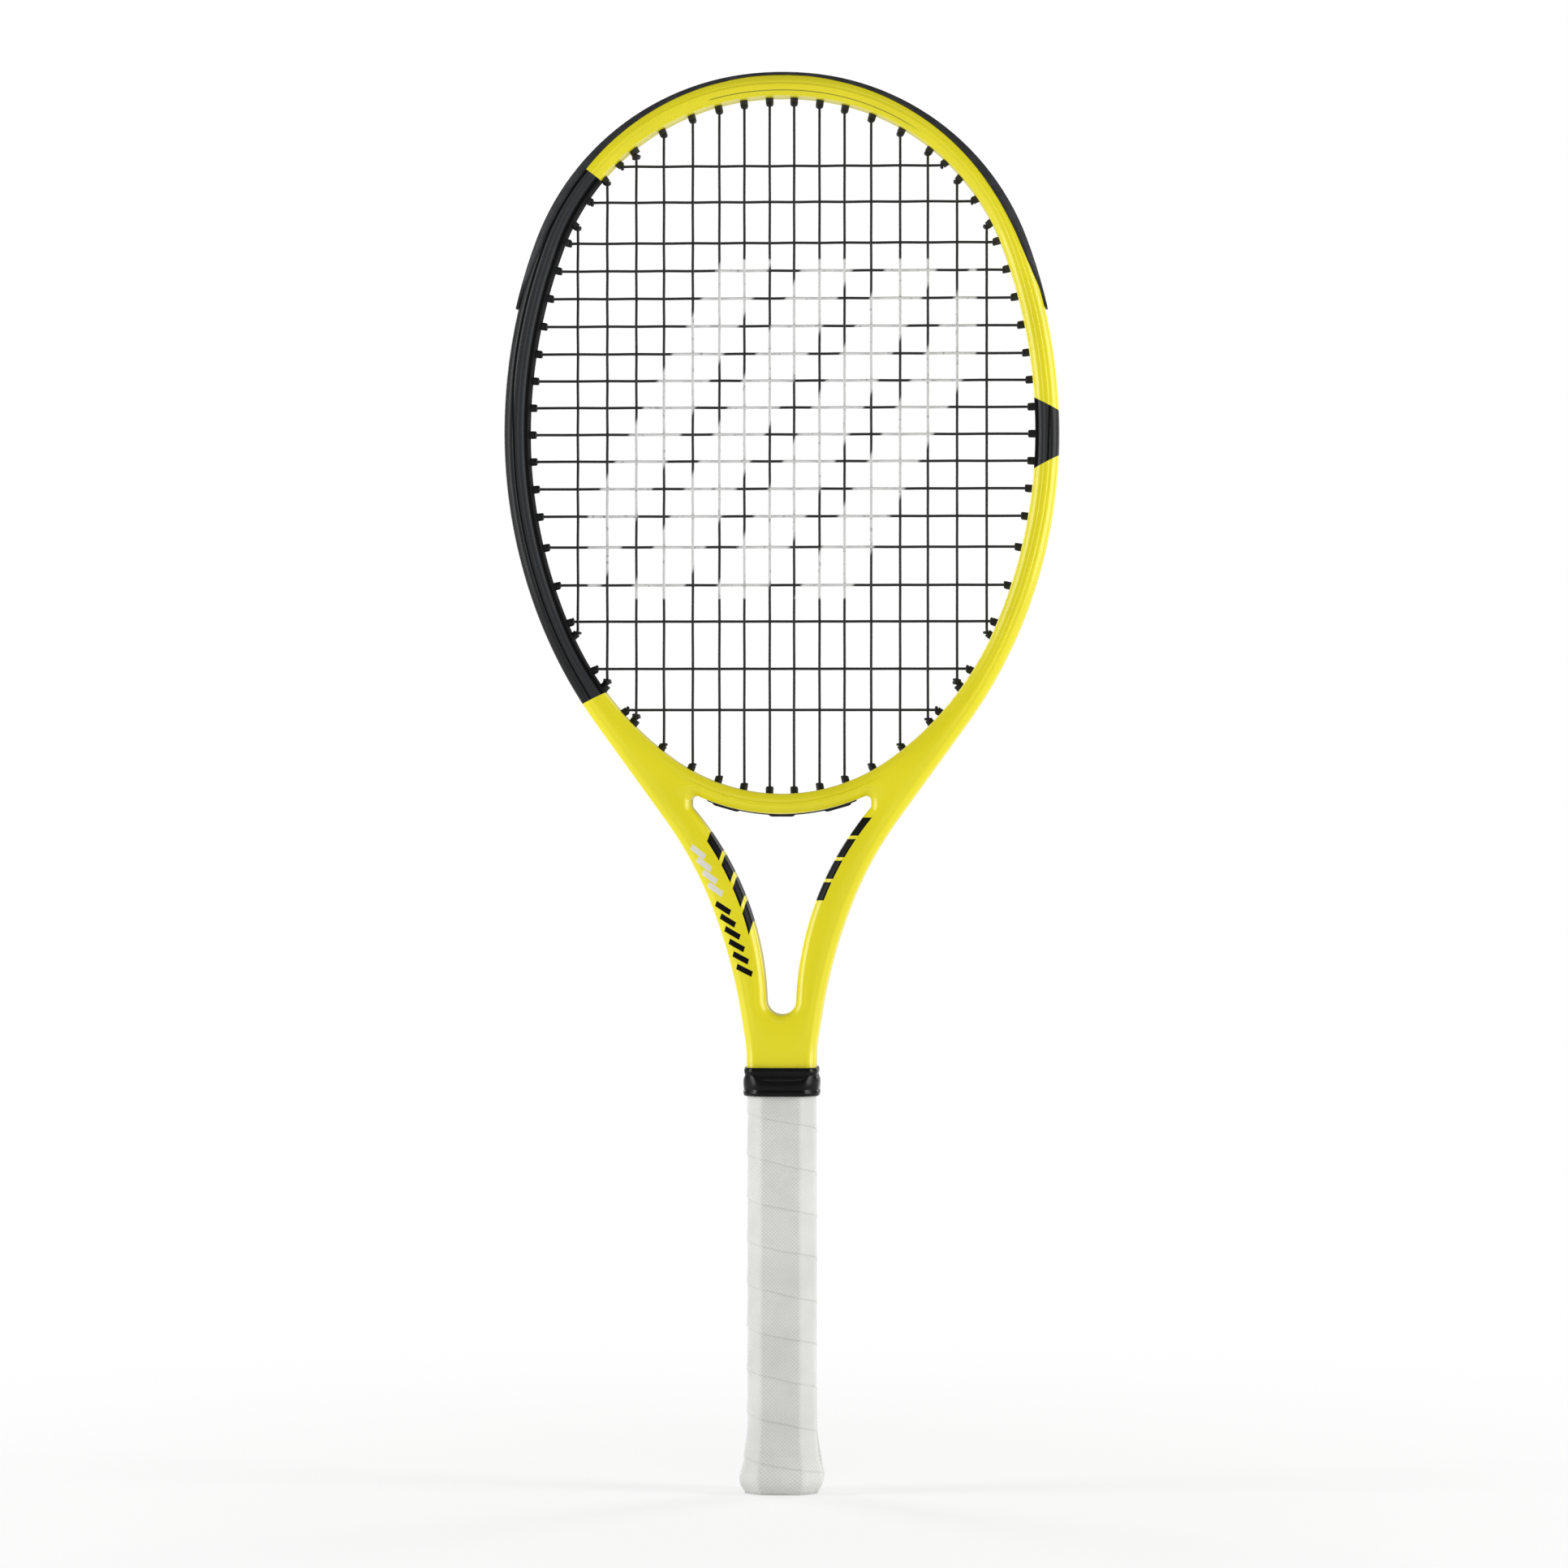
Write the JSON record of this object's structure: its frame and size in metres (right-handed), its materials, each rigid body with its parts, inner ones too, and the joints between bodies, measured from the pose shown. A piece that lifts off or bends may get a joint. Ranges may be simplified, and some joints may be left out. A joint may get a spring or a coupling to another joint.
{
  "type": "tennis racket",
  "caption": "Strung tennis racket with an oval head, open throat, bumper guard, grommet strips, wrapped octagonal grip, rubber collar and butt cap.",
  "frame": {"origin": "centre of the butt's end face", "axes": "+Z from the butt to the tip of the head, +X across the string face, the front of the face looks along -Y"},
  "size_m": [0.2682, 0.0378, 0.6858],
  "materials": {
    "frame_paint": "gloss",
    "black_nylon": "satin",
    "string": "satin",
    "foam": "matte",
    "cap_plastic": "satin",
    "badge": "gloss",
    "steel": "satin",
    "grip_tape": "matte",
    "finishing_tape": "satin",
    "collar_rubber": "satin"
  },
  "bodies": {
    "racket": {"frame_tube": "frame_paint", "throat_bridge": "frame_paint", "bumper_guard": "black_nylon", "side_grommets_left": "black_nylon", "side_grommets_right": "black_nylon", "shoulder_grommets_left": "black_nylon", "shoulder_grommets_right": "black_nylon", "throat_grommets": "black_nylon", "main_string": "string", "cross_string": "string", "main_string_knots": "string", "cross_string_knots": "string", "handle_pallet": "foam", "butt_cap": "cap_plastic", "butt_badge": "badge", "butt_cap_staples": "steel", "grip_tack": "steel", "grip_tape": "grip_tape", "grip_finishing_tape": "finishing_tape"},
    "collar": {"grip_collar": "collar_rubber"}
  },
  "joints": [
    {"name": "collar_slide", "type": "slide", "parent": "racket", "child": "collar", "axis": [0, 0, 1], "range_m": [0, 0.006]}
  ]
}
